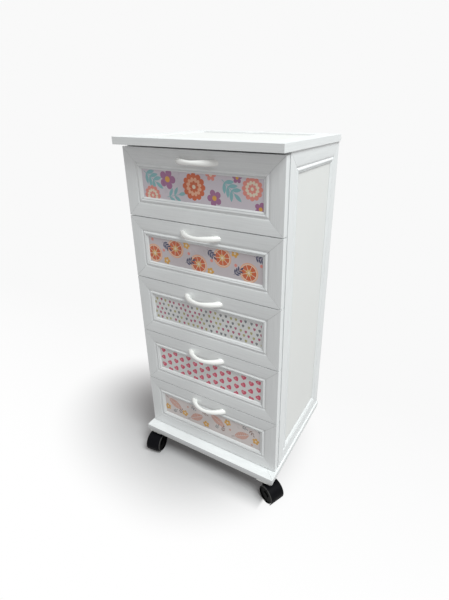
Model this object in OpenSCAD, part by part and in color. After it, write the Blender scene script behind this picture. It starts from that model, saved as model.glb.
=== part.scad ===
// White plastic drawer tower: five drawers with mitred profile fronts, on four black twin-wheel casters.
// Units are millimetres. X runs to the right, Y to the back and Z up.
// The origin lies on the floor, under the middle of the base.

/* [Drawers] */
// Number of drawers, counted from the top
drawer_count = 5; // [2:1:5]
// Width of a drawer front
front_w = 423; // [393:5:453]
// Height of a drawer front
front_h = 164; // [150:0.5:200]
// Gap between one drawer front and the next
front_gap = 2; // [1:0.5:3]
// Gap between the top drawer front and the underside of the top
top_gap = 5.5; // [2:0.5:6]

/* [Profile] */
// Width of the extruded profile, from its outer edge to the panel
profile_w = 49; // [48:0.5:60]
// Thickness of the profile in the drawer fronts, the sides and the top
profile_t = 17; // [16:1:20]
// Width of the flat part of the profile, as far as the shoulder that falls to the groove
flat_w = 29.5; // [26:0.5:30]
// Depth of the panel's face below the face of a moulded frame
panel_recess = 4.6; // [4:0.2:7]
// Depth of the panel's face below the face of the top and the base
top_recess = 3; // [2:0.5:5]
// Thickness of the panels
panel_t = 5; // [4:0.5:6]
// Hairline gap that is left in each mitre
mitre_gap = 0.1; // [0.05:0.05:0.2]

/* [Cabinet] */
// Depth of a side frame
side_d = 311; // [280:1:340]
// How far a side stands out beyond the drawer front's edge
side_reveal = 1.5; // [1:0.5:6]
// How far the base's ledge stands out in front of the drawer fronts
ledge_front = 28.5; // [20:0.5:40]
// How far the base and the top stand out beyond the sides
ledge_side = 4; // [2:0.5:8]
// How far the top stands out in front of the drawer fronts
top_overhang = 24.5; // [15:0.5:28]
// Thickness of the base
base_t = 20; // [18:1:24]
// Distance from the back panel to the rear edge of the sides
back_inset = 4; // [2:1:8]

/* [Drawer boxes] */
// Height of the drawer box's side boards
box_h = 122; // [100:1:125]
// Thickness of the box's side and back boards
board_t = 5; // [4:0.5:6]
// Thickness of the box's bottom board
bottom_t = 4; // [3:0.5:5]
// Length of the box from the back of its front
box_d = 293; // [240:1:295]

/* [Handles] */
// Distance between the handle's screws
handle_centres = 96; // [80:1:110]
// Distance of the handle's middle below the drawer front's top edge
handle_drop = 24; // [18:1:26]
// How far the handle's bow stands out from the drawer front
handle_reach = 27; // [22:1:32]
// Thickness of the bow in its middle
bow_t = 8.5; // [6:0.5:10]
// Height of the bow in its middle
bow_h = 10.5; // [8:0.5:12]
// Height of the handle's feet
foot_h = 15; // [12:0.5:17]
// Width of the handle's feet
foot_w = 20; // [14:0.5:22]

/* [Casters] */
// Height from the floor to the underside of the base
caster_h = 62; // [58:1:70]
// Radius of a wheel
wheel_r = 25; // [22:0.5:26]
// Width of one wheel
wheel_w = 14.5; // [12:0.5:16]
// Distance from the swivel's axis to the axle
trail = 20; // [16:0.5:24]
// Distance of a swivel's axis from the side edges of the base
caster_inset_x = 27; // [26:1:40]
// Distance of a swivel's axis from the front and rear edges of the base
caster_inset_y = 22; // [22:1:24]
// Way the front left caster is turned, from straight forward
front_left_turn = 10; // [-180:2:180]
// Way the front right caster is turned
front_right_turn = 66; // [-180:2:180]
// Way the rear right caster is turned
rear_right_turn = -84; // [-180:2:180]
// Way the rear left caster is turned
rear_left_turn = -132; // [-180:2:180]

/* [Hidden] */
$fn = 48;

// How far a cutter runs past the faces that it cuts
past = 1;

// Frame of the whole
pitch = front_h + front_gap;
carcass_h = drawer_count * pitch + top_gap;
side_gap = 1.5;
side_x = front_w / 2 + side_reveal;
inner_x = side_x - profile_t;
base_w = 2 * (side_x + ledge_side);
base_d = ledge_front + profile_t + side_gap + side_d;
front_y = -base_d / 2 + ledge_front;
front_back_y = front_y + profile_t;
side_front_y = front_back_y + side_gap;
rear_y = base_d / 2;
side_y = (side_front_y + rear_y) / 2;
base_top = caster_h + base_t;
slab_bottom = base_top + carcass_h;
top_d = rear_y - front_y + top_overhang;
top_y = rear_y - top_d / 2;

// Moulded profile
shoulder_w = 4;
shoulder_depth = 1.2;
groove_w = 3.2;
groove_depth = 2.6;
bead_w = 7.7;
bead_crest = 0.1;
bead_steps = 12;
quirk_w = 0.8;
quirk_depth = 3;
bevel_high = 1;
bevel_low = 4;
tongue = 8;
panel_play = 0.5;
edge_break = 11;
edge_taper = 1.5;

// Runners and drawer boxes
runner_depth = 12;
runner_h = 20;
runner_wall = 2;
runner_play = 0.5;
runner_z = 76;
runner_front = side_front_y + 2;
runner_rear = rear_y - 14;
strip_t = 2;
strip_h = 32;
strip_inset = 5;
strip_gap = 0.3;
box_x = inner_x - runner_depth - runner_play - strip_t;
box_z = 15;
bottom_z = 18;
box_joint = 0.1;

// Corner blocks and brackets
block = 12;
block_edge = 3;
block_h = 20;
bracket_l = 30;
bracket_inset = 8;

// Screws
screw_r = 2;
head_r = 4;
head_h = 2.2;
foot_grip = 4;
plate_screw_l = 14;
runner_screw_r = 1.75;
runner_screw_l = 12;
sunk_head_r = 3.4;

// Casters
body_w = 13;
wheel_gap = 0.75;
hood_r = wheel_r + 3.2;
hood_wall = 1.8;
hood_edge = 1.2;
hood_w = body_w + 2 * (wheel_gap + wheel_w) + 1;
hood_low_angle = -42;
hood_high_angle = 118;
body_r = hood_r - 0.5;
body_floor = 8;
boss_r = 10;
boss_low = 51;
swivel_gap = 0.3;
mount_plate_w = 42;
mount_plate_t = 2.5;
plate_hole = 15;
hood_top = caster_h - mount_plate_t - swivel_gap;
kingpin_r = 4;
kingpin_low = 34;
running_gap = 0.05;
axle_r = 3;
axle_depth = 12;
tread_round = 2;
hub_r = 9;
rim_w = 3.5;
dish = 2.2;
hollow_rim_w = 4.5;
hollow = 5;
swivel_x = base_w / 2 - caster_inset_x;
swivel_y = base_d / 2 - caster_inset_y;

// Facets of a handle: cross-sections along its bow, and sides of each
bow_steps = 24;
bow_sides = 20;

white = [0.93, 0.93, 0.92];
panel_white = [0.88, 0.88, 0.86];
handle_white = [0.97, 0.96, 0.93];
print_ground = [0.93, 0.86, 0.88];
black = [0.05, 0.05, 0.06];
zinc = [0.72, 0.72, 0.7];

CORNERS = [
    ["front_left", -1, -1, front_left_turn],
    ["front_right", 1, -1, front_right_turn],
    ["rear_right", 1, 1, rear_right_turn],
    ["rear_left", -1, 1, rear_left_turn]
];
CABINET_NODES = [
    "left_side_frame", "right_side_frame", "left_side_panel", "right_side_panel",
    "top_frame", "top_panel", "base_frame", "base_panel", "back_panel",
    "left_runners", "right_runners", "corner_brackets", "cabinet_screws", "caster_plates"
];
CASTER_PARTS = ["hood", "axle", "wheel_left", "wheel_right"];
DRAWER_PARTS = ["front_frame", "front_panel", "box", "handle", "runner_tongues", "fixings"];

// Height of the lower edge of drawer n's front
function front_z(n) = base_top + front_gap + (drawer_count - n) * pitch;

// ---------------------------------------------------------------- Profiles and frames

// Section of the moulded profile: x runs from the outer edge to the panel, y from the face to the back.
// A shoulder falls to a groove. A rounded bead follows, then a narrow quirk and a bevel that falls to the
// panel, which sits in a slot.
module moulded_section() {
    groove_x = flat_w + shoulder_w;
    bead_x = groove_x + groove_w;
    bead_end = bead_x + bead_w;
    rise = groove_depth - bead_crest;
    bead_r = (bead_w * bead_w / 4 + rise * rise) / (2 * rise);
    half_turn = asin(bead_w / 2 / bead_r);
    polygon(concat(
        [[0, 0], [flat_w, 0], [groove_x, shoulder_depth], [groove_x, groove_depth]],
        [for (i = [0:bead_steps])
            let (a = half_turn * (2 * i / bead_steps - 1))
            [bead_x + bead_w / 2 + bead_r * sin(a), bead_crest + bead_r * (1 - cos(a))]],
        [
            [bead_end, quirk_depth], [bead_end + quirk_w, quirk_depth],
            [bead_end + quirk_w, bevel_high], [profile_w, bevel_low],
            [profile_w, panel_recess], [profile_w - tongue, panel_recess],
            [profile_w - tongue, panel_recess + panel_t], [profile_w, panel_recess + panel_t],
            [profile_w, profile_t], [0, profile_t]
        ]
    ));
}

// Section of the plain profile of the top and the base, with a shallow step down to its panel
module plain_section(thickness, taper) {
    polygon([
        [0, 0], [profile_w, 0],
        [profile_w, top_recess], [profile_w - tongue, top_recess],
        [profile_w - tongue, top_recess + panel_t], [profile_w, top_recess + panel_t],
        [profile_w, thickness], [taper, thickness], [0, edge_break]
    ]);
}

// One length of profile, mitred at both ends: its outer edge lies on X and its face looks up
module mitred_length(length, thickness) {
    half = length / 2;
    intersection() {
        translate([-half, 0, 0])
            rotate([90, 0, 90])
                linear_extrude(length)
                    mirror([0, 1]) children();
        translate([0, 0, -thickness - past])
            linear_extrude(thickness + 2 * past)
                polygon([
                    [-half + mitre_gap / 2, 0], [half - mitre_gap / 2, 0],
                    [half - mitre_gap / 2 - profile_w, profile_w],
                    [-half + mitre_gap / 2 + profile_w, profile_w]
                ]);
    }
}

// Four mitred lengths round an opening, centred on the origin and facing up
module mitred_frame(w, h, thickness) {
    for (turn = [0, 180])
        rotate(turn)
            translate([0, -h / 2, 0]) mitred_length(w, thickness) children();
    for (turn = [90, -90])
        rotate(turn)
            translate([0, -w / 2, 0]) mitred_length(h, thickness) children();
}

// A panel that fills the slot of a frame of the given outer size, its face at the given depth
module slotted_panel(w, h, depth) {
    panel_w = w - 2 * profile_w + 2 * (tongue - panel_play);
    panel_h = h - 2 * profile_w + 2 * (tongue - panel_play);
    translate([-panel_w / 2, -panel_h / 2, -depth - panel_t])
        cube([panel_w, panel_h, panel_t]);
}

// ---------------------------------------------------------------- Cabinet

// Puts a child that faces up onto the outer face of a side: s is -1 for the left and 1 for the right
module on_side(s) {
    translate([s * side_x, side_y, base_top + carcass_h / 2])
        rotate([90, 0, s * 90]) children();
}

module side_frame(s) {
    color(white)
        difference() {
            on_side(s) mitred_frame(side_d, carcass_h, profile_t) moulded_section();
            for (n = [1:drawer_count]) runner_screw_places(s, n) sunk_screw(0);
        }
}

module side_panel(s) {
    color(panel_white)
        on_side(s) slotted_panel(side_d, carcass_h, panel_recess);
}

module top_frame() {
    color(white)
        translate([0, top_y, slab_bottom + profile_t])
            mitred_frame(base_w, top_d, profile_t) plain_section(profile_t, 0);
}

module top_panel() {
    color(panel_white)
        translate([0, top_y, slab_bottom + profile_t])
            slotted_panel(base_w, top_d, top_recess);
}

module base_frame() {
    color(white)
        difference() {
            translate([0, 0, base_top])
                mitred_frame(base_w, base_d, base_t) plain_section(base_t, edge_taper);
            for (c = CORNERS)
                translate([c[1] * swivel_x, c[2] * swivel_y, 0]) caster_screw_set();
        }
}

module base_panel() {
    color(panel_white)
        translate([0, 0, base_top]) slotted_panel(base_w, base_d, top_recess);
}

module back_panel() {
    color(panel_white)
        translate([-inner_x, rear_y - back_inset - panel_t, base_top])
            cube([2 * inner_x, panel_t, carcass_h]);
}

// Open channels on the inside of one side, one for each drawer
module runners(s) {
    color(panel_white)
        for (n = [1:drawer_count])
            difference() {
                translate([s * inner_x, runner_front, front_z(n) + runner_z])
                    mirror([s > 0 ? 1 : 0, 0, 0])
                        difference() {
                            translate([0, 0, -runner_h / 2])
                                cube([runner_depth, runner_rear - runner_front, runner_h]);
                            translate([runner_wall, -past, -runner_h / 2 + runner_wall])
                                cube([runner_depth, runner_rear - runner_front + 2 * past,
                                      runner_h - 2 * runner_wall]);
                        }
                runner_screw_places(s, n) sunk_screw(past);
            }
}

// Puts a child on each runner screw of drawer n, with Z pointing into the cabinet from the channel's web
module runner_screw_places(s, n) {
    for (y = [side_front_y + profile_w / 2, rear_y - profile_w / 2])
        translate([s * (inner_x - runner_wall), y, front_z(n) + runner_z])
            rotate([0, -s * 90, 0]) children();
}

// Countersunk screw that points along -Z with its head flush with the origin, drawn out upwards as a cutter
module sunk_screw(above) {
    sink = sunk_head_r - runner_screw_r;
    rotate_extrude()
        polygon([
            [0, above], [sunk_head_r, above], [sunk_head_r, 0],
            [runner_screw_r, -sink], [runner_screw_r, -runner_screw_l], [0, -runner_screw_l]
        ]);
}

// Moulded corner brackets that tie the sides to the top and the base
module corner_brackets() {
    front = side_front_y + bracket_inset;
    rear = rear_y - back_inset - panel_t - bracket_inset - bracket_l;
    color(panel_white)
        for (s = [-1, 1], y = [front, rear], high = [0, 1])
            translate([s * inner_x, y, high == 1 ? slab_bottom : base_top])
                mirror([s > 0 ? 1 : 0, 0, 0])
                    mirror([0, 0, high])
                        translate([0, bracket_l, 0])
                            rotate([90, 0, 0]) corner_block(bracket_l);
}

// Block that fills a corner between two faces, with its long edge on Z
module corner_block(length) {
    linear_extrude(length)
        polygon([[0, 0], [block, 0], [block, block_edge], [block_edge, block], [0, block]]);
}

// Pan head screw that points along -Z, with the underside of its head on the origin
module pan_screw(length) {
    rotate_extrude()
        polygon([
            [0, head_h], [head_r * 0.55, head_h], [head_r * 0.9, head_h * 0.6], [head_r, 0],
            [screw_r, 0], [screw_r, -length + screw_r], [0, -length]
        ]);
}

module cabinet_screws() {
    color(zinc) {
        for (s = [-1, 1], n = [1:drawer_count]) runner_screw_places(s, n) sunk_screw(0);
        for (c = CORNERS)
            translate([c[1] * swivel_x, c[2] * swivel_y, 0])
                for (x = [-1, 1], y = [-1, 1])
                    translate([x * plate_hole, y * plate_hole, caster_h - mount_plate_t])
                        rotate([180, 0, 0]) pan_screw(plate_screw_l);
    }
}

// ---------------------------------------------------------------- Casters

// Cutters for the four screws of one caster
module caster_screw_set() {
    for (x = [-1, 1], y = [-1, 1])
        translate([x * plate_hole, y * plate_hole, caster_h - mount_plate_t - past])
            cylinder(r = screw_r, h = past + plate_screw_l);
}

// Steel plates with their kingpins, fixed under the corners of the base
module caster_plates() {
    color(zinc)
        for (c = CORNERS)
            translate([c[1] * swivel_x, c[2] * swivel_y, 0]) {
                difference() {
                    translate([-mount_plate_w / 2, -mount_plate_w / 2, caster_h - mount_plate_t])
                        cube([mount_plate_w, mount_plate_w, mount_plate_t]);
                    caster_screw_set();
                }
                translate([0, 0, kingpin_low])
                    cylinder(r = kingpin_r, h = caster_h - kingpin_low - mount_plate_t / 2);
            }
}

// Puts a caster, drawn with its kingpin on Z and trailing towards -Y, at its corner of the base
module at_corner(c) {
    translate([c[1] * swivel_x, c[2] * swivel_y, 0]) rotate(c[3]) children();
}

// Extrudes a child of the Y-Z plane to both sides of X = 0
module across(width) {
    rotate([90, 0, 90]) linear_extrude(width, center = true) children();
}

// Section of the hood: x is the distance from the axle and y runs across, with rounded outer edges
module hood_section() {
    difference() {
        union() {
            square([2 * (hood_r - hood_edge), hood_w], center = true);
            square([2 * hood_r, hood_w - 2 * hood_edge], center = true);
            for (side = [-1, 1])
                translate([hood_r - hood_edge, side * (hood_w / 2 - hood_edge)]) circle(hood_edge);
        }
        translate([-2 * hood_r, -hood_w])
            square([3 * hood_r - hood_wall, 2 * hood_w]);
    }
}

// Shell over both wheels: a ring about the axle, from its low edge behind the wheels up over their tops
module hood_shell() {
    reach = 2 * hood_r;
    turn = hood_high_angle - hood_low_angle;
    intersection() {
        rotate([0, 90, 0]) rotate_extrude() hood_section();
        across(hood_w + 2 * past)
            polygon(concat(
                [[0, 0]],
                [for (i = [0:4]) let (a = hood_low_angle + turn * i / 4) [-reach * cos(a), reach * sin(a)]]
            ));
    }
}

// Web between the wheels, with the neck that stands up to the kingpin
module hood_web() {
    across(body_w)
        intersection() {
            union() {
                translate([-trail, wheel_r]) circle(body_r);
                translate([-boss_r, wheel_r]) square([2 * boss_r, hood_top - wheel_r]);
            }
            translate([-trail - 2 * body_r, body_floor]) square(4 * body_r);
        }
}

module caster_hood(c) {
    color(black)
        at_corner(c)
            difference() {
                union() {
                    translate([0, -trail, wheel_r]) hood_shell();
                    hood_web();
                    translate([0, 0, boss_low]) cylinder(r = boss_r, h = hood_top - boss_low);
                }
                translate([0, 0, kingpin_low - past])
                    cylinder(r = kingpin_r + running_gap, h = caster_h - kingpin_low);
                translate([0, -trail, wheel_r])
                    rotate([0, 90, 0]) cylinder(r = axle_r, h = hood_w, center = true);
            }
}

module caster_axle(c) {
    color(zinc)
        at_corner(c)
            translate([0, -trail, wheel_r])
                rotate([0, 90, 0])
                    cylinder(r = axle_r, h = body_w + 2 * (wheel_gap + axle_depth), center = true);
}

// Section of a wheel: x is the radius, y runs from its inner face to its dished outer face
module wheel_section() {
    difference() {
        union() {
            square([wheel_r - tread_round, wheel_w]);
            translate([0, tread_round]) square([wheel_r, wheel_w - 2 * tread_round]);
            for (y = [tread_round, wheel_w - tread_round])
                translate([wheel_r - tread_round, y]) circle(tread_round);
        }
        translate([-past, -past])
            square([axle_r + running_gap + past, axle_depth + 1.5 * past]);
        translate([hub_r, wheel_w - dish])
            square([wheel_r - rim_w - hub_r, dish + past]);
        translate([hub_r, -past])
            square([wheel_r - hollow_rim_w - hub_r, hollow + past]);
    }
}

module caster_wheel(c, s) {
    color(black)
        at_corner(c)
            translate([s * (body_w / 2 + wheel_gap), -trail, wheel_r])
                rotate([0, s * 90, 0])
                    rotate_extrude() wheel_section();
}

// ---------------------------------------------------------------- Drawers

module drawer_front_frame(n) {
    color(white)
        difference() {
            translate([0, front_y, front_z(n) + front_h / 2])
                rotate([90, 0, 0]) mitred_frame(front_w, front_h, profile_t) moulded_section();
            handle_screw_places(n)
                translate([0, 0, -profile_t - past]) cylinder(r = screw_r, h = profile_t + 2 * past);
        }
}

module drawer_front_panel(n) {
    color(print_ground)
        translate([0, front_y, front_z(n) + front_h / 2])
            rotate([90, 0, 0]) slotted_panel(front_w, front_h, panel_recess);
}

// Open box of plain boards: two sides, a back between them and a bottom
module drawer_box(n) {
    inside_x = box_x - board_t - box_joint;
    back_y = front_back_y + box_d - board_t;
    color(panel_white)
        translate([0, 0, front_z(n)]) {
            for (s = [-1, 1])
                translate([s > 0 ? box_x - board_t : -box_x, front_back_y, box_z])
                    cube([board_t, box_d, box_h]);
            translate([-inside_x, back_y, box_z])
                cube([2 * inside_x, board_t, box_h]);
            translate([-inside_x, front_back_y, bottom_z])
                cube([2 * inside_x, box_d - board_t - box_joint, bottom_t]);
        }
}

// Puts a child on each screw of the handle, with Z pointing out of the drawer front
module handle_screw_places(n) {
    for (s = [-1, 1])
        translate([s * handle_centres / 2, front_y, front_z(n) + front_h - handle_drop])
            rotate([90, 0, 0]) children();
}

// Distance from the middle of the feet to an arc over them, in the direction a: the arc meets the drawer
// front half_span to either side and stands out by reach
function arc_distance(half_span, reach, a) =
    let (r = (half_span * half_span + reach * reach) / (2 * reach))
    let (back = r - reach)
    sqrt(r * r - pow(back * cos(a), 2)) - back * sin(a);

// Ring of points round the bow's cross-section in the direction a: an ellipse between the two arcs
function bow_ring(a) =
    let (inner = arc_distance((handle_centres - foot_w) / 2, handle_reach - bow_t, a))
    let (outer = arc_distance((handle_centres + foot_w) / 2, handle_reach, a))
    let (half_h = (bow_h + (foot_h - bow_h) * pow(cos(a), 2)) / 2)
    [for (i = [0:bow_sides - 1])
        let (t = 360 * i / bow_sides)
        let (d = (inner + outer) / 2 + (outer - inner) / 2 * cos(t))
        [d * cos(a), -d * sin(a), half_h * sin(t)]];

// Bow between two flat feet on Y = 0: its cross-sections fan out from one foot round to the other
module bow() {
    points = [for (i = [0:bow_steps]) each bow_ring(180 * i / bow_steps)];
    last = bow_steps * bow_sides;
    polyhedron(points, concat(
        [[for (i = [0:bow_sides - 1]) i]],
        [for (ring = [0:bow_steps - 1], i = [0:bow_sides - 1], half = [0, 1])
            let (a = ring * bow_sides + i)
            let (b = ring * bow_sides + (i + 1) % bow_sides)
            half == 0 ? [a, a + bow_sides, b + bow_sides] : [a, b + bow_sides, b]],
        [[for (i = [bow_sides - 1:-1:0]) last + i]]
    ));
}

module drawer_handle(n) {
    color(handle_white)
        difference() {
            translate([0, front_y, front_z(n) + front_h - handle_drop]) bow();
            handle_screw_places(n)
                translate([0, 0, -past]) cylinder(r = screw_r, h = foot_grip + past);
        }
}

// Strips on the outside of the box, each with a tongue that runs in the channel
module drawer_runner_tongues(n) {
    tongue_h = runner_h - 2 * runner_wall - 2 * runner_play;
    tongue_x = strip_t + runner_play + runner_depth - runner_wall - strip_gap;
    strip_l = box_d - 2 * strip_inset;
    color(panel_white)
        for (s = [-1, 1])
            translate([s * box_x, front_back_y + strip_inset, front_z(n) + runner_z])
                mirror([s > 0 ? 0 : 1, 0, 0]) {
                    translate([0, 0, -strip_h / 2]) cube([strip_t, strip_l, strip_h]);
                    translate([0, 0, -tongue_h / 2]) cube([tongue_x, strip_l, tongue_h]);
                }
}

// Handle screws and the corner blocks that hold the front to the box
module drawer_fixings(n) {
    color(zinc)
        handle_screw_places(n)
            translate([0, 0, -profile_t])
                rotate([180, 0, 0]) pan_screw(profile_t + foot_grip);
    color(panel_white)
        for (s = [-1, 1], z = [bottom_z + bottom_t, box_z + box_h - block_h])
            translate([s * (box_x - board_t), front_back_y, front_z(n) + z])
                mirror([s > 0 ? 1 : 0, 0, 0]) corner_block(block_h);
}

// ---------------------------------------------------------------- Nodes

side_frame(-1);  // left_side_frame
side_frame(1);  // right_side_frame
side_panel(-1);  // left_side_panel
side_panel(1);  // right_side_panel
top_frame();
top_panel();
base_frame();
base_panel();
back_panel();
runners(-1);  // left_runners
runners(1);  // right_runners
corner_brackets();
cabinet_screws();
caster_plates();

for (c = CORNERS) {
    caster_hood(c);
    caster_axle(c);
    caster_wheel(c, -1);
    caster_wheel(c, 1);
}

for (n = [1:drawer_count]) {
    drawer_front_frame(n);
    drawer_front_panel(n);
    drawer_box(n);
    drawer_handle(n);
    drawer_runner_tongues(n);
    drawer_fixings(n);
}
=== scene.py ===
"""Looks of a white plastic drawer tower: finishes, printed drawer panels, soft studio light and camera."""

import math

import bpy
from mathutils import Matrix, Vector


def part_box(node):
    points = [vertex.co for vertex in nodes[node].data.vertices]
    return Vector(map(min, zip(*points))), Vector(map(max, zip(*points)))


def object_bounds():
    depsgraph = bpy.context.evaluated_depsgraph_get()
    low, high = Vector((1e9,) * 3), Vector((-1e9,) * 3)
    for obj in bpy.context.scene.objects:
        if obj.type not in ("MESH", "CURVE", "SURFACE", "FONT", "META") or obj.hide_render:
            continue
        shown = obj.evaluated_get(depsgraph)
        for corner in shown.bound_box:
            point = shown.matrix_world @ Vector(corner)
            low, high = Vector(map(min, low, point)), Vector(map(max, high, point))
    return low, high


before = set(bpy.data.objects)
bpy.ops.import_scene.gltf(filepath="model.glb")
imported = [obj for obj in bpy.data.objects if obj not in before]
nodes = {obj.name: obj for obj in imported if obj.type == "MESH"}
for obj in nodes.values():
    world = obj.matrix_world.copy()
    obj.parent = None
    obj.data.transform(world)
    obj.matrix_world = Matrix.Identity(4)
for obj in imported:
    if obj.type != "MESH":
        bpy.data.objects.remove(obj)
cad_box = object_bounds()

MM = 0.001
DRAWERS = range(1, 1 + sum(1 for name in nodes if name.endswith("_front_panel")))

# Roundings of the edges, the angle from which an edge is rounded, and what counts as flat and as one point
EDGE_ROUND = 0.35 * MM
HANDLE_ROUND = 0.2 * MM
EDGE_STEPS = 2
EDGE_ANGLE = math.radians(28)
FLAT_ANGLE = math.radians(0.3)
WELD_DISTANCE = 0.002 * MM

# Relief of the finishes
PROFILE_RELIEF = 0.08 * MM
SHEET_RELIEF = 0.05 * MM
HANDLE_RELIEF = 0.02 * MM
NYLON_RELIEF = 0.03 * MM
ZINC_RELIEF = 0.01 * MM
FILM_RELIEF = 0.1 * MM

# Width of the hairline joint of the mitres, and the planes that the mitred frames lie in, as pairs of axes
MITRE_LINE = 0.3 * MM
FLAT_IN_XZ, FLAT_IN_YZ, FLAT_IN_XY = (0, 2), (1, 2), (0, 1)

# Width of the edge of a drawer's panel that is hidden in its slot, in millimetres like the prints
PANEL_TONGUE = 7.5

# Rims of the casters: how far they reach in from the outermost face, their width, and the depth of the faces
RIM_DEPTH = 1.8 * MM
RIM_WIDTH = 1.5 * MM
FACE_DEPTH = 9 * MM

# Range that most values of a noise lie in
NOISE_RANGE = (0.3, 0.7)

# Finishes, as linear colours
PROFILE_WHITE = (0.855, 0.865, 0.865)
SHEET_WHITE = (0.835, 0.835, 0.815)
HANDLE_WHITE = (0.96, 0.955, 0.925)
NYLON_BLACK = (0.0035, 0.0035, 0.0045)
# Painted highlight along the rims of the casters' outer faces
RIM_PAINTED_HIGHLIGHT = (0.062, 0.06, 0.058)
ZINC_GREY = (0.62, 0.62, 0.6)

# Colours of the printed films
LILAC = (0.65, 0.59, 0.64)
MAUVE = (0.62, 0.56, 0.58)
BLUSH = (0.74, 0.67, 0.65)
PAPER = (0.75, 0.75, 0.74)
PLUM = (0.36, 0.14, 0.28)
CORAL = (0.78, 0.27, 0.22)
PEACH = (0.83, 0.44, 0.28)
CREAM = (0.82, 0.70, 0.55)
BURNT_ORANGE = (0.62, 0.12, 0.035)
TEAL = (0.24, 0.47, 0.49)
MUSTARD = (0.72, 0.37, 0.06)
NAVY = (0.035, 0.04, 0.11)
CRIMSON = (0.62, 0.055, 0.12)
ROSE = (0.72, 0.19, 0.24)
OLIVE = (0.42, 0.38, 0.16)
WINE = (0.42, 0.09, 0.16)
SLATE = (0.17, 0.18, 0.19)
DUSTY_PEACH = (0.66, 0.34, 0.26)
BROWN = (0.22, 0.11, 0.08)
SOFT_GREY = (0.2, 0.22, 0.23)


# ---------------------------------------------------------------- Formulas in nodes

# Places of the colour sockets on a mix node
MIX_FIRST, MIX_SECOND, MIX_RESULT = 6, 7, 2


class Num:
    """A number that nodes work out, so that a finish is written as a formula."""

    def __init__(self, graph, socket):
        self.graph = graph
        self.socket = socket

    def math(self, operation, *others):
        node = self.graph.add("ShaderNodeMath", operation=operation)
        for slot, value in enumerate((self, *others)):
            self.graph.feed(node.inputs[slot], value)
        return Num(self.graph, node.outputs[0])

    def __add__(self, other):
        return self.math("ADD", other)

    def __sub__(self, other):
        return self.math("SUBTRACT", other)

    def __neg__(self):
        return self * -1

    def __rsub__(self, other):
        return -self + other

    def __mul__(self, other):
        return self.math("MULTIPLY", other)

    def __truediv__(self, other):
        return self.math("DIVIDE", other)

    def __abs__(self):
        return self.math("ABSOLUTE")

    def less(self, other):
        return self.math("LESS_THAN", other)

    def more(self, other):
        return self.math("GREATER_THAN", other)

    def floor(self):
        return self.math("FLOOR")

    def either(self, other):
        return self.math("MAXIMUM", other)

    def both(self, other):
        return self.math("MINIMUM", other)

    def power(self, exponent):
        return self.math("POWER", exponent)


class Graph:
    """The node tree of a material or of the world, with short calls for what the finishes share."""

    def __init__(self, owner, output="ShaderNodeOutputMaterial"):
        owner.use_nodes = True
        self.owner = owner
        self.tree = owner.node_tree
        self.tree.nodes.clear()
        self.output = self.add(output)
        self.coordinates = self.add("ShaderNodeTexCoord").outputs["Object"]

    def add(self, kind, **settings):
        node = self.tree.nodes.new(kind)
        for key, value in settings.items():
            setattr(node, key, value)
        return node

    def feed(self, socket, value):
        """Links a number, vector or colour of the tree to a socket, or sets a plain value there."""
        if isinstance(value, Num):
            value = value.socket
        if isinstance(value, bpy.types.NodeSocket):
            self.tree.links.new(value, socket)
        elif isinstance(value, tuple) and len(socket.default_value) == 4:
            socket.default_value = (*value, 1)
        else:
            socket.default_value = value

    def axes(self):
        """The object's own x, y and z in metres, which don't change when it moves."""
        split = self.add("ShaderNodeSeparateXYZ")
        self.feed(split.inputs[0], self.coordinates)
        return [Num(self, output) for output in split.outputs]

    def vector(self, x, y, z=0.0):
        join = self.add("ShaderNodeCombineXYZ")
        for socket, value in zip(join.inputs, (x, y, z)):
            self.feed(socket, value)
        return join.outputs[0]

    def noise(self, vector, scale, detail=2.0, roughness=0.5):
        node = self.add("ShaderNodeTexNoise")
        self.feed(node.inputs["Vector"], vector)
        node.inputs["Scale"].default_value = scale
        node.inputs["Detail"].default_value = detail
        node.inputs["Roughness"].default_value = roughness
        return Num(self, node.outputs["Fac"])

    def spread(self, value, low, high, to_low, to_high):
        """Maps a number from one range to another and holds it inside that range."""
        node = self.add("ShaderNodeMapRange")
        for socket, item in zip(node.inputs, (value, low, high, to_low, to_high)):
            self.feed(socket, item)
        return Num(self, node.outputs[0])

    def blend(self, share, first, second):
        """Colour that goes from the first to the second as the share goes from 0 to 1."""
        node = self.add("ShaderNodeMix", data_type="RGBA")
        self.feed(node.inputs["Factor"], share)
        self.feed(node.inputs[MIX_FIRST], first)
        self.feed(node.inputs[MIX_SECOND], second)
        return node.outputs[MIX_RESULT]

    def bump(self, height, distance):
        node = self.add("ShaderNodeBump")
        node.inputs["Strength"].default_value = 1.0
        node.inputs["Distance"].default_value = distance
        self.feed(node.inputs["Height"], height)
        return node.outputs[0]

    def surface(self, color, roughness, normal, **fixed):
        """Closes the material with one shader; the fixed values are set on its own sockets."""
        shader = self.add("ShaderNodeBsdfPrincipled")
        self.feed(shader.inputs["Base Color"], color)
        self.feed(shader.inputs["Roughness"], roughness)
        self.feed(shader.inputs["Normal"], normal)
        for key, value in fixed.items():
            shader.inputs[key.replace("_", " ")].default_value = value
        self.feed(self.output.inputs["Surface"], shader.outputs[0])
        return self.owner


def new_finish(name):
    return Graph(bpy.data.materials.new(name))


def scaled(color, factor):
    return tuple(channel * factor for channel in color)


# ---------------------------------------------------------------- Finishes


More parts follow.
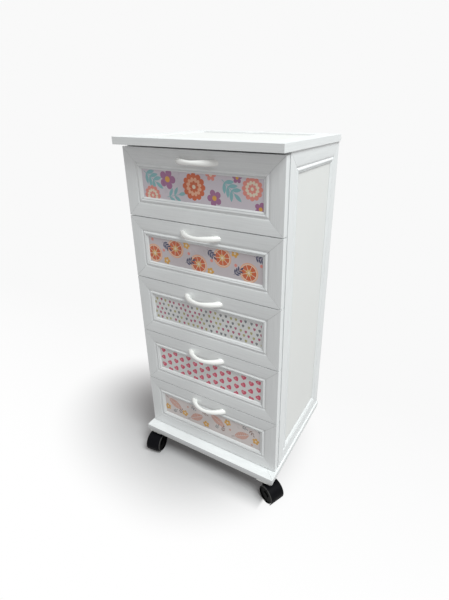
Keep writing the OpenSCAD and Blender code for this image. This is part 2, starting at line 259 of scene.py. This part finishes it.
def profile_finish(node, flat_axes):
    """White extruded profile with a faint embossed grain that runs along each mitred length."""
    low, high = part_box(node)
    graph = new_finish(node + "_finish")
    places = graph.axes()
    first, second = flat_axes
    depth_axis = 3 - first - second
    a = places[first] - (low[first] + high[first]) / 2
    b = places[second] - (low[second] + high[second]) / 2
    from_a = (high[first] - low[first]) / 2 - abs(a)
    from_b = (high[second] - low[second]) / 2 - abs(b)
    rail = from_b.less(from_a)
    along = b + (a - b) * rail
    across = a + (b - a) * rail
    depth = places[depth_axis]
    fibres = graph.vector(along * 0.025, across, depth + rail)
    bands = graph.vector(along * 0.05, across + rail, depth)
    streaks = graph.noise(fibres, scale=700, detail=3, roughness=0.6)
    waves = graph.noise(bands, scale=320)
    grain = streaks * 0.5 + waves * 0.5
    joint = abs(from_a - from_b).less(MITRE_LINE)
    tone = graph.spread(grain, *NOISE_RANGE, 0.0, 1.0)
    color = graph.blend(tone, scaled(PROFILE_WHITE, 0.95), scaled(PROFILE_WHITE, 1.035))
    color = graph.blend(joint, color, scaled(PROFILE_WHITE, 0.62))
    roughness = graph.spread(grain, *NOISE_RANGE, 0.5, 0.36)
    return graph.surface(color, roughness, graph.bump(grain, PROFILE_RELIEF))


def sheet_finish():
    """Plain white sheet with a little unevenness, for the panels, the boxes and the runners."""
    graph = new_finish("white_sheet_finish")
    mottle = graph.noise(graph.coordinates, scale=9, detail=3)
    ripple = graph.noise(graph.coordinates, scale=420)
    color = graph.blend(mottle, scaled(SHEET_WHITE, 0.985), scaled(SHEET_WHITE, 1.015))
    roughness = graph.spread(ripple, *NOISE_RANGE, 0.4, 0.5)
    height = mottle * 3 + ripple * 0.15
    return graph.surface(color, roughness, graph.bump(height, SHEET_RELIEF))


def handle_finish():
    """Warm white glossy moulding with faint flow marks."""
    graph = new_finish("handle_finish")
    flow = graph.noise(graph.coordinates, scale=60, detail=3)
    skin = graph.noise(graph.coordinates, scale=700)
    color = graph.blend(flow, scaled(HANDLE_WHITE, 0.97), scaled(HANDLE_WHITE, 1.01))
    roughness = graph.spread(skin, *NOISE_RANGE, 0.2, 0.28)
    normal = graph.bump(skin, HANDLE_RELIEF)
    return graph.surface(color, roughness, normal, Coat_Weight=0.6, Specular_IOR_Level=0.9)


def nylon_finish(caster):
    """Black moulded nylon, finely grained and a little scuffed, with a painted highlight on the rims round
    its outer faces, in patches where the scuffs are strong.
    The rims are found by their distance from the caster's middle, along its axle and away from it."""
    wheels = [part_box(f"{caster}_wheel_{side}") for side in ("left", "right")]
    left, right = [(low + high) / 2 for low, high in wheels]
    axle, middle = (right - left).normalized(), (left + right) / 2
    wheel_r = (wheels[0][1].z - wheels[0][0].z) / 2
    hood = nodes[f"{caster}_hood"].data
    half_width = max(abs((corner.co - middle).dot(axle)) for corner in hood.vertices)
    graph = new_finish(f"{caster}_finish")
    x, y, z = [place - middle[axis] for axis, place in enumerate(graph.axes())]
    aside = abs(x * axle.x + y * axle.y)
    reach = (x * x + y * y + z * z - aside * aside).math("SQRT")
    face = aside.more(half_width - FACE_DEPTH).both(reach.less(wheel_r - RIM_WIDTH))
    rim = aside.more(half_width - RIM_DEPTH).both(reach.more(wheel_r - RIM_WIDTH))
    grain = graph.noise(graph.coordinates, scale=1500)
    scuffs = graph.noise(graph.coordinates, scale=70, detail=4, roughness=0.7)
    color = graph.blend(scuffs.power(3), NYLON_BLACK, scaled(NYLON_BLACK, 2.6))
    color = graph.blend(face, color, scaled(NYLON_BLACK, 0.1))
    # painted highlight on the rims, in patches where the scuff noise is high
    color = graph.blend(rim * scuffs.more(0.4), color, RIM_PAINTED_HIGHLIGHT)
    roughness = graph.spread(scuffs, 0.35, 0.7, 0.38, 0.55)
    return graph.surface(color, roughness, graph.bump(grain, NYLON_RELIEF), Specular_IOR_Level=0.05)


def zinc_finish():
    """Bright zinc-plated steel with soft spangles."""
    graph = new_finish("zinc_finish")
    crystals = graph.add("ShaderNodeTexVoronoi")
    graph.feed(crystals.inputs["Vector"], graph.coordinates)
    crystals.inputs["Scale"].default_value = 320
    spangle = Num(graph, crystals.outputs["Distance"])
    fine = graph.noise(graph.coordinates, scale=900)
    color = graph.blend(spangle, scaled(ZINC_GREY, 0.9), scaled(ZINC_GREY, 1.1))
    roughness = graph.spread(fine, *NOISE_RANGE, 0.28, 0.42)
    return graph.surface(color, roughness, graph.bump(fine, ZINC_RELIEF), Metallic=1.0)


# ---------------------------------------------------------------- Printed films


class Print:
    """A printed film on one drawer's panel, with places in millimetres from the lower left of its opening."""

    def __init__(self, drawer, ground):
        corner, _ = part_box(f"drawer_{drawer}_front_panel")
        self.graph = new_finish(f"drawer_{drawer}_print")
        x, _, z = self.graph.axes()
        self.x = (x - corner.x) / MM - PANEL_TONGUE
        self.z = (z - corner.z) / MM - PANEL_TONGUE
        wash = self.graph.noise(self.graph.coordinates, scale=14, detail=3)
        self.color = self.graph.blend(wash, scaled(ground, 0.96), scaled(ground, 1.04))

    def paint(self, mask, color):
        self.color = self.graph.blend(mask, self.color, color)

    def local(self, x, z, turn=0.0):
        """Coordinates about a point of the film, turned by an angle in degrees."""
        dx, dz = self.x - x, self.z - z
        if not turn:
            return dx, dz
        c, s = math.cos(math.radians(turn)), math.sin(math.radians(turn))
        return dx * c + dz * s, dz * c - dx * s

    def finish(self):
        """Satin film with soft waves where it was smoothed on by hand."""
        waves = self.graph.noise(self.graph.coordinates, scale=30)
        fine = self.graph.noise(self.graph.coordinates, scale=1200)
        roughness = self.graph.spread(waves, *NOISE_RANGE, 0.26, 0.42)
        normal = self.graph.bump(waves * 4 + fine * 0.05, FILM_RELIEF)
        return self.graph.surface(self.color, roughness, normal, Coat_Weight=0.25, Coat_Roughness=0.2)


def radius_of(x, z):
    return (x * x + z * z).math("SQRT")


def disc(x, z, radius):
    return (x * x + z * z).less(radius * radius)


def petals(x, z, radius, count, waist, turn=0.0):
    """Flower outline whose radius swings between the waist and the tips of the petals."""
    angle = z.math("ARCTAN2", x) * (count / 2) + turn
    swing = angle.math("COSINE").math("ABSOLUTE").power(0.6)
    return radius_of(x, z).less(swing * (radius - waist) + waist)


def leaf(x, z, length, width):
    """Pointed leaf from the origin along +x, with its full width half way."""
    t = x / length
    edge = t * (1 - t) * (2 * width)
    return abs(z).less(edge)


def heart(x, z, size):
    """Heart of about the given width, with its point down: the inside of (u^2 + v^2 - 1)^3 = u^2 v^3."""
    u, v = x / (size * 0.44), z / (size * 0.44) + 0.1
    ring_term = u * u + v * v - 1
    return (ring_term * ring_term * ring_term).less(u * u * v * v * v)


def cells(along, across, length, width):
    """Splits the film into rows of cells, each moved along by half a cell from the last. Gives the numbers of
    the cell and the places about its middle."""
    row = (across / width).floor()
    shifted = along / length + row * 0.5
    column = shifted.floor()
    return column, row, (shifted - column - 0.5) * length, (across / width - row - 0.5) * width


def chance(graph, column, row, seed):
    """A repeatable random number from 0 to 1 for each cell."""
    node = graph.add("ShaderNodeTexWhiteNoise", noise_dimensions="3D")
    graph.feed(node.inputs["Vector"], graph.vector(column, row, seed))
    return Num(graph, node.outputs["Value"])


def blossom(film, x, z, radius, count, color, middle_color, turn=0.0):
    """Flat flower with a round middle."""
    dx, dz = film.local(x, z, turn)
    film.paint(petals(dx, dz, radius, count, radius * 0.55), color)
    film.paint(disc(dx, dz, radius * 0.3), middle_color)


def sprig(film, x, z, length, turn, color, pairs=3, leaf_share=0.42):
    """Stem with pairs of leaves and one at its tip."""
    for step in range(pairs):
        place = length * (0.15 + 0.65 * step / pairs)
        for side in (-1, 1):
            c, s = math.cos(math.radians(turn)), math.sin(math.radians(turn))
            dx, dz = film.local(x + place * c, z + place * s, turn + side * 48)
            film.paint(leaf(dx, dz, length * leaf_share, length * leaf_share * 0.36), color)
    dx, dz = film.local(x, z, turn)
    stem = abs(dz).less(length * 0.014).both(dx.more(0)).both(dx.less(length * 0.85))
    film.paint(stem, color)
    tip = leaf(dx - length * 0.75, dz, length * leaf_share, length * leaf_share * 0.36)
    film.paint(tip, color)


def dahlia(film, x, z, radius, outer, inner):
    """Big round bloom: three crowns of petals in two colours, and a small eye."""
    dx, dz = film.local(x, z)
    film.paint(petals(dx, dz, radius, 12, radius * 0.82), outer)
    film.paint(petals(dx, dz, radius * 0.68, 12, radius * 0.5, math.pi / 2), inner)
    film.paint(petals(dx, dz, radius * 0.42, 8, radius * 0.28), outer)
    film.paint(disc(dx, dz, radius * 0.15), CREAM)


def citrus(film, x, z, radius, turn):
    """Slice of a fruit: rind, pale pith and eight wedges that turn yellow towards the middle."""
    dx, dz = film.local(x, z, turn)
    reach = radius_of(dx, dz)
    film.paint(disc(dx, dz, radius), PEACH)
    film.paint(disc(dx, dz, radius * 0.87), CREAM)
    spokes = (dz.math("ARCTAN2", dx) * 4).math("SINE").math("ABSOLUTE")
    wedge = reach.less(radius * 0.8).both(reach.more(radius * 0.13)).both((spokes * reach).more(radius * 0.1))
    film.paint(wedge, BURNT_ORANGE)
    film.paint(wedge.both(reach.less(radius * 0.34)), MUSTARD)


def broad_leaf(film, x, z, length, turn):
    """Wide leaf with a pale midrib and side veins, on a brown stalk."""
    dx, dz = film.local(x, z, turn)
    blade = leaf(dx, dz, length, length * 0.46)
    vein = ((dx - abs(dz) * 0.9) / (length * 0.13)).math("FRACT").less(0.14)
    film.paint(blade, DUSTY_PEACH)
    film.paint(blade.both(vein.either(abs(dz).less(length * 0.014))), BLUSH)
    film.paint(abs(dz).less(0.8).both(abs(dx + length * 0.1).less(length * 0.1)), BROWN)


def print_1():
    """Large blooms and broad sprigs on lilac."""
    film = Print(1, LILAC)
    sprig(film, 6, 62, 56, -34, TEAL, 3, 0.46)
    blossom(film, 76, 47, 23, 5, PLUM, MUSTARD)
    dahlia(film, 28, 6, 24, CORAL, CREAM)
    sprig(film, 72, 6, 46, 14, TEAL, 2, 0.5)
    dahlia(film, 150, 36, 31, BURNT_ORANGE, PEACH)
    blossom(film, 196, 66, 14, 6, CORAL, CREAM)
    blossom(film, 204, 16, 19, 5, PLUM, MUSTARD, 40)
    sprig(film, 224, 58, 54, -42, TEAL, 3, 0.46)
    dahlia(film, 298, 44, 25, CORAL, CREAM)
    blossom(film, 262, 64, 12, 5, PLUM, MUSTARD, 20)
    blossom(film, 318, 4, 15, 5, PLUM, MUSTARD)
    return film.finish()


def print_2():
    """Fruit slices, navy sprigs and mustard blossoms on mauve."""
    film = Print(2, MAUVE)
    for x, z, turn in ((16, 24, 10), (84, 46, 35), (152, 18, 60), (220, 46, 5), (290, 22, 20)):
        citrus(film, x, z, 24, turn)
    for x, z, turn in ((44, 58, -36), (112, 14, 24), (178, 60, -40), (250, 10, 40), (304, 64, -16)):
        sprig(film, x, z, 30, turn, NAVY, 3, 0.42)
    for x, z in ((54, 10), (118, 60), (186, 6), (254, 62)):
        blossom(film, x, z, 10, 5, MUSTARD, CREAM)
    for x, z in ((12, 60), (46, 36), (124, 40), (190, 34), (256, 34), (322, 44)):
        film.paint(disc(*film.local(x, z), 4), CORAL)
    return film.finish()


def print_3():
    """Small narrow hearts scattered in three colours on pale paper."""
    film = Print(3, PAPER)
    graph = film.graph
    column, row, dx, dz = cells(film.x, film.z, length=14.5, width=13)
    dx = dx + (chance(graph, column, row, 1.0) - 0.5) * 4
    dz = dz + (chance(graph, column, row, 2.0) - 0.5) * 3
    pick = chance(graph, column, row, 3.0)
    hue = graph.blend(pick.less(0.36), OLIVE, WINE)
    hue = graph.blend(pick.more(0.68), hue, SLATE)
    film.paint(heart(dx * 1.25, dz, 8.5), hue)
    return film.finish()


def print_4():
    """Staggered rows of tilted hearts on pale paper."""
    film = Print(4, PAPER)
    row, _, dz, dx = cells(film.z, film.x, length=24, width=22)
    odd = abs(row.math("MODULO", 2.0))
    tilt = (odd * 2 - 1) * math.radians(24) + math.radians(14)
    c, s = tilt.math("COSINE"), tilt.math("SINE")
    u, v = dx * c + dz * s, dz * c - dx * s
    film.paint(heart(u, v, 15), CRIMSON)
    film.paint(heart(u + 2, v - 1, 7), ROSE)
    return film.finish()


def print_5():
    """Broad leaves, little star flowers and sprigs on blush."""
    film = Print(5, BLUSH)
    for x, z, turn in ((14, 56, -28), (92, 12, 30), (166, 58, -30), (244, 14, 28)):
        broad_leaf(film, x, z, 54, turn)
    for x, z, turn in ((52, 14, 60), (134, 56, -20), (204, 12, 75), (292, 58, -50)):
        sprig(film, x, z, 22, turn, BROWN, 2, 0.4)
    for x, z, turn in ((72, 22, 0), (148, 14, 25), (222, 52, 50), (312, 26, 10), (8, 22, 30)):
        blossom(film, x, z, 11, 5, MUSTARD, CREAM, turn)
    for x, z, turn in ((28, 10, 40), (96, 58, -30), (182, 14, 60), (268, 60, -15), (318, 60, 30)):
        sprig(film, x, z, 18, turn, SOFT_GREY, 2, 0.44)
    for x, z in ((84, 50), (124, 36), (230, 30), (300, 8)):
        film.paint(disc(*film.local(x, z), 3.4), DUSTY_PEACH)
    return film.finish()


# ---------------------------------------------------------------- Dressing the parts


def dress(name, material, rounding=EDGE_ROUND):
    """Gives a CAD node its finish and small rounded edges that catch the light."""
    part = nodes[name]
    part.data.materials.clear()
    part.data.materials.append(material)
    for imported in ("custom_normal", "sharp_edge", "sharp_face"):
        if imported in part.data.attributes:
            part.data.attributes.remove(part.data.attributes[imported])
    weld = part.modifiers.new("weld", "WELD")
    weld.merge_threshold = WELD_DISTANCE
    flats = part.modifiers.new("flats", "DECIMATE")
    flats.decimate_type = "DISSOLVE"
    flats.angle_limit = FLAT_ANGLE
    bevel = part.modifiers.new("edges", "BEVEL")
    bevel.width = rounding
    bevel.segments = EDGE_STEPS
    bevel.limit_method = "ANGLE"
    bevel.angle_limit = EDGE_ANGLE
    bevel.harden_normals = True
    bevel.use_clamp_overlap = False


def dress_cabinet():
    for side in ("left", "right"):
        dress(f"{side}_side_frame", profile_finish(f"{side}_side_frame", FLAT_IN_YZ))
    for name in ("top_frame", "base_frame"):
        dress(name, profile_finish(name, FLAT_IN_XY))
    sheet = sheet_finish()
    for name in ("left_side_panel", "right_side_panel", "top_panel", "base_panel", "back_panel",
                 "left_runners", "right_runners", "corner_brackets"):
        dress(name, sheet)
    zinc = zinc_finish()
    for name in ("cabinet_screws", "caster_plates"):
        dress(name, zinc)
    return sheet, zinc


def dress_drawers(sheet, zinc):
    handle = handle_finish()
    prints = (print_1, print_2, print_3, print_4, print_5)
    for n in DRAWERS:
        frame_node = f"drawer_{n}_front_frame"
        dress(frame_node, profile_finish(frame_node, FLAT_IN_XZ))
        dress(f"drawer_{n}_front_panel", prints[n - 1]())
        dress(f"drawer_{n}_handle", handle, HANDLE_ROUND)
        dress(f"drawer_{n}_box", sheet)
        dress(f"drawer_{n}_runner_tongues", sheet)
        dress(f"drawer_{n}_fixings", zinc)


def dress_casters(zinc):
    for name in nodes:
        if name.startswith("caster_") and name.endswith("_hood"):
            caster = name.removesuffix("_hood")
            nylon = nylon_finish(caster)
            for part in ("hood", "wheel_left", "wheel_right"):
                dress(f"{caster}_{part}", nylon)
            dress(f"{caster}_axle", zinc)


# ---------------------------------------------------------------- Studio

# The camera of the photograph: place in metres, turn and tilt in degrees, and lens in millimetres
CAMERA_PLACE = (0.5227, -0.8671, 0.9913)
CAMERA_AZIMUTH = 28.82
CAMERA_DOWN = 23.63
CAMERA_LENS = 23.64
CAMERA_SHIFT = (-0.0395, -0.0303)
CAMERA_NEAREST = 0.01

# Side of the square floor
FLOOR_SIZE = 40

# Whites of the backdrop behind and before the tower, and the grey of the floor near it, which is painted
# shade round the tower, as the camera sees them
BACKDROP_WHITE = 0.947
FORE_WHITE = 1.0
NEAR_FLOOR_PAINTED_SHADE = (0.615, 0.6, 0.602)

# Where the floor's grey tone of painted shade fades into the backdrop: distances from a centre, which count
# for more to the right and in depth
FADE_CENTRE = (-0.1, -0.04)
FADE_RIGHT_SCALE = 1.6
FADE_DEPTH_SCALE = 1.55
FADE_RANGE = (0.22, 0.62)

# Distances over which that fade sets in round the floor under the tower, which stays dark with the painted
# grey and its real shadow. They run from the base's front and rear edges, and from a little inside its sides,
# where they count for more
CLEAR_INSET = 0.03
CLEAR_SIDE_SCALE = 5
CLEAR_RANGE = (0.0, 0.05)

# Depths and distances over which the white before the tower goes over into the white behind it
BEHIND_RANGE = (-0.4, 0.4)
DISTANT_RANGE = (1.0, 3.0)

# Share of its light that the floor near the tower throws back, glow of the floor far off, and room light
FLOOR_BOUNCE = 0.1
FLOOR_GLOW = 0.37
ROOM_LIGHT = 0.44

# The big round lamp: its azimuth runs from straight ahead towards the right
LAMP_POWER = 303
LAMP_COLOR = (0.945, 1.0, 1.0)
LAMP_SIZE = 3.2
LAMP_DISTANCE = 6.0
LAMP_ELEVATION = 55
LAMP_AZIMUTH = 70


def make_camera():
    camera = bpy.data.objects.new("camera", bpy.data.cameras.new("camera"))
    camera.location = CAMERA_PLACE
    camera.rotation_euler = (math.radians(90 - CAMERA_DOWN), 0, math.radians(CAMERA_AZIMUTH))
    camera.data.lens = CAMERA_LENS
    camera.data.shift_x, camera.data.shift_y = CAMERA_SHIFT
    camera.data.clip_start = CAMERA_NEAREST
    bpy.context.collection.objects.link(camera)
    bpy.context.scene.camera = camera


def seen_directly(graph):
    """1 for rays from the camera and for mirror and glass rays, 0 for the light that falls on things."""
    paths = graph.add("ShaderNodeLightPath")
    kinds = ("Is Camera Ray", "Is Glossy Ray", "Is Transmission Ray")
    camera, glossy, through = (Num(graph, paths.outputs[kind]) for kind in kinds)
    return camera.either(glossy).either(through)


def eased(share):
    """Softens both ends of a share that runs from 0 to 1."""
    return share * share * (3 - share * 2)


def make_floor():
    """Floor that takes the shadow near the tower, where its grey tone is painted shade round and under the
    tower, and fades into the backdrop far from it.
    """
    bpy.ops.mesh.primitive_plane_add(size=FLOOR_SIZE)
    floor = bpy.context.object
    floor.name = "floor"
    graph = new_finish("floor_finish")
    x, y, _ = graph.axes()
    aside = x - FADE_CENTRE[0]
    aside = (aside * FADE_RIGHT_SCALE).either(-aside)
    reach = radius_of(aside, (y - FADE_CENTRE[1]) * FADE_DEPTH_SCALE)
    low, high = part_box("base_frame")
    middle, half = (low + high) / 2, (high - low) / 2
    beside = (abs(x - middle.x) - (half.x - CLEAR_INSET)).either(0.0)
    before = (abs(y - middle.y) - half.y).either(0.0)
    clear = graph.spread(radius_of(beside * CLEAR_SIDE_SCALE, before), *CLEAR_RANGE, 0.0, 1.0)
    far = eased(graph.spread(reach, *FADE_RANGE, 0.0, 1.0)) * eased(clear)
    matte = graph.add("ShaderNodeBsdfDiffuse")
    # the camera sees the floor near the tower in a painted shade of grey; the shadow on it is real
    tone = graph.blend(seen_directly(graph), (FLOOR_BOUNCE,) * 3, NEAR_FLOOR_PAINTED_SHADE)
    graph.feed(matte.inputs["Color"], tone)
    glow = graph.add("ShaderNodeEmission")
    behind = graph.spread(y, *BEHIND_RANGE, 0.0, 1.0)
    distant = graph.spread(radius_of(x, y), *DISTANT_RANGE, 0.0, 1.0)
    backdrop = graph.blend(behind.either(distant), (FORE_WHITE,) * 3, (BACKDROP_WHITE,) * 3)
    graph.feed(glow.inputs["Color"], graph.blend(seen_directly(graph), (FLOOR_GLOW,) * 3, backdrop))
    mix = graph.add("ShaderNodeMixShader")
    graph.feed(mix.inputs[0], far)
    graph.feed(mix.inputs[1], matte.outputs[0])
    graph.feed(mix.inputs[2], glow.outputs[0])
    graph.feed(graph.output.inputs["Surface"], mix.outputs[0])
    floor.data.materials.append(graph.owner)


def make_room():
    """Even light of the room, and the plain white backdrop that the camera sees."""
    world = bpy.data.worlds.new("studio")
    bpy.context.scene.world = world
    graph = Graph(world, "ShaderNodeOutputWorld")
    background = graph.add("ShaderNodeBackground")
    background.inputs["Color"].default_value = (1, 1, 1, 1)
    strength = seen_directly(graph) * (BACKDROP_WHITE - ROOM_LIGHT) + ROOM_LIGHT
    graph.feed(background.inputs["Strength"], strength)
    graph.feed(graph.output.inputs["Surface"], background.outputs[0])


def make_lamp():
    """The big round lamp, high up at the right, turned to the middle of the tower."""
    lamp = bpy.data.objects.new("lamp", bpy.data.lights.new("lamp", "AREA"))
    lamp.data.shape = "DISK"
    lamp.data.size = LAMP_SIZE
    lamp.data.energy = LAMP_POWER
    lamp.data.color = LAMP_COLOR
    up, around = math.radians(LAMP_ELEVATION), math.radians(LAMP_AZIMUTH)
    source = Vector((math.sin(around) * math.cos(up), -math.cos(around) * math.cos(up), math.sin(up)))
    lamp.location = Vector((0, 0, cad_box[1][2] / 2)) + source * LAMP_DISTANCE
    lamp.rotation_mode = "QUATERNION"
    lamp.rotation_quaternion = source.to_track_quat("Z", "Y")
    bpy.context.collection.objects.link(lamp)


sheet, zinc = dress_cabinet()
dress_drawers(sheet, zinc)
dress_casters(zinc)
make_floor()
make_room()
make_lamp()
make_camera()

bpy.context.scene.view_settings.view_transform = "Standard"
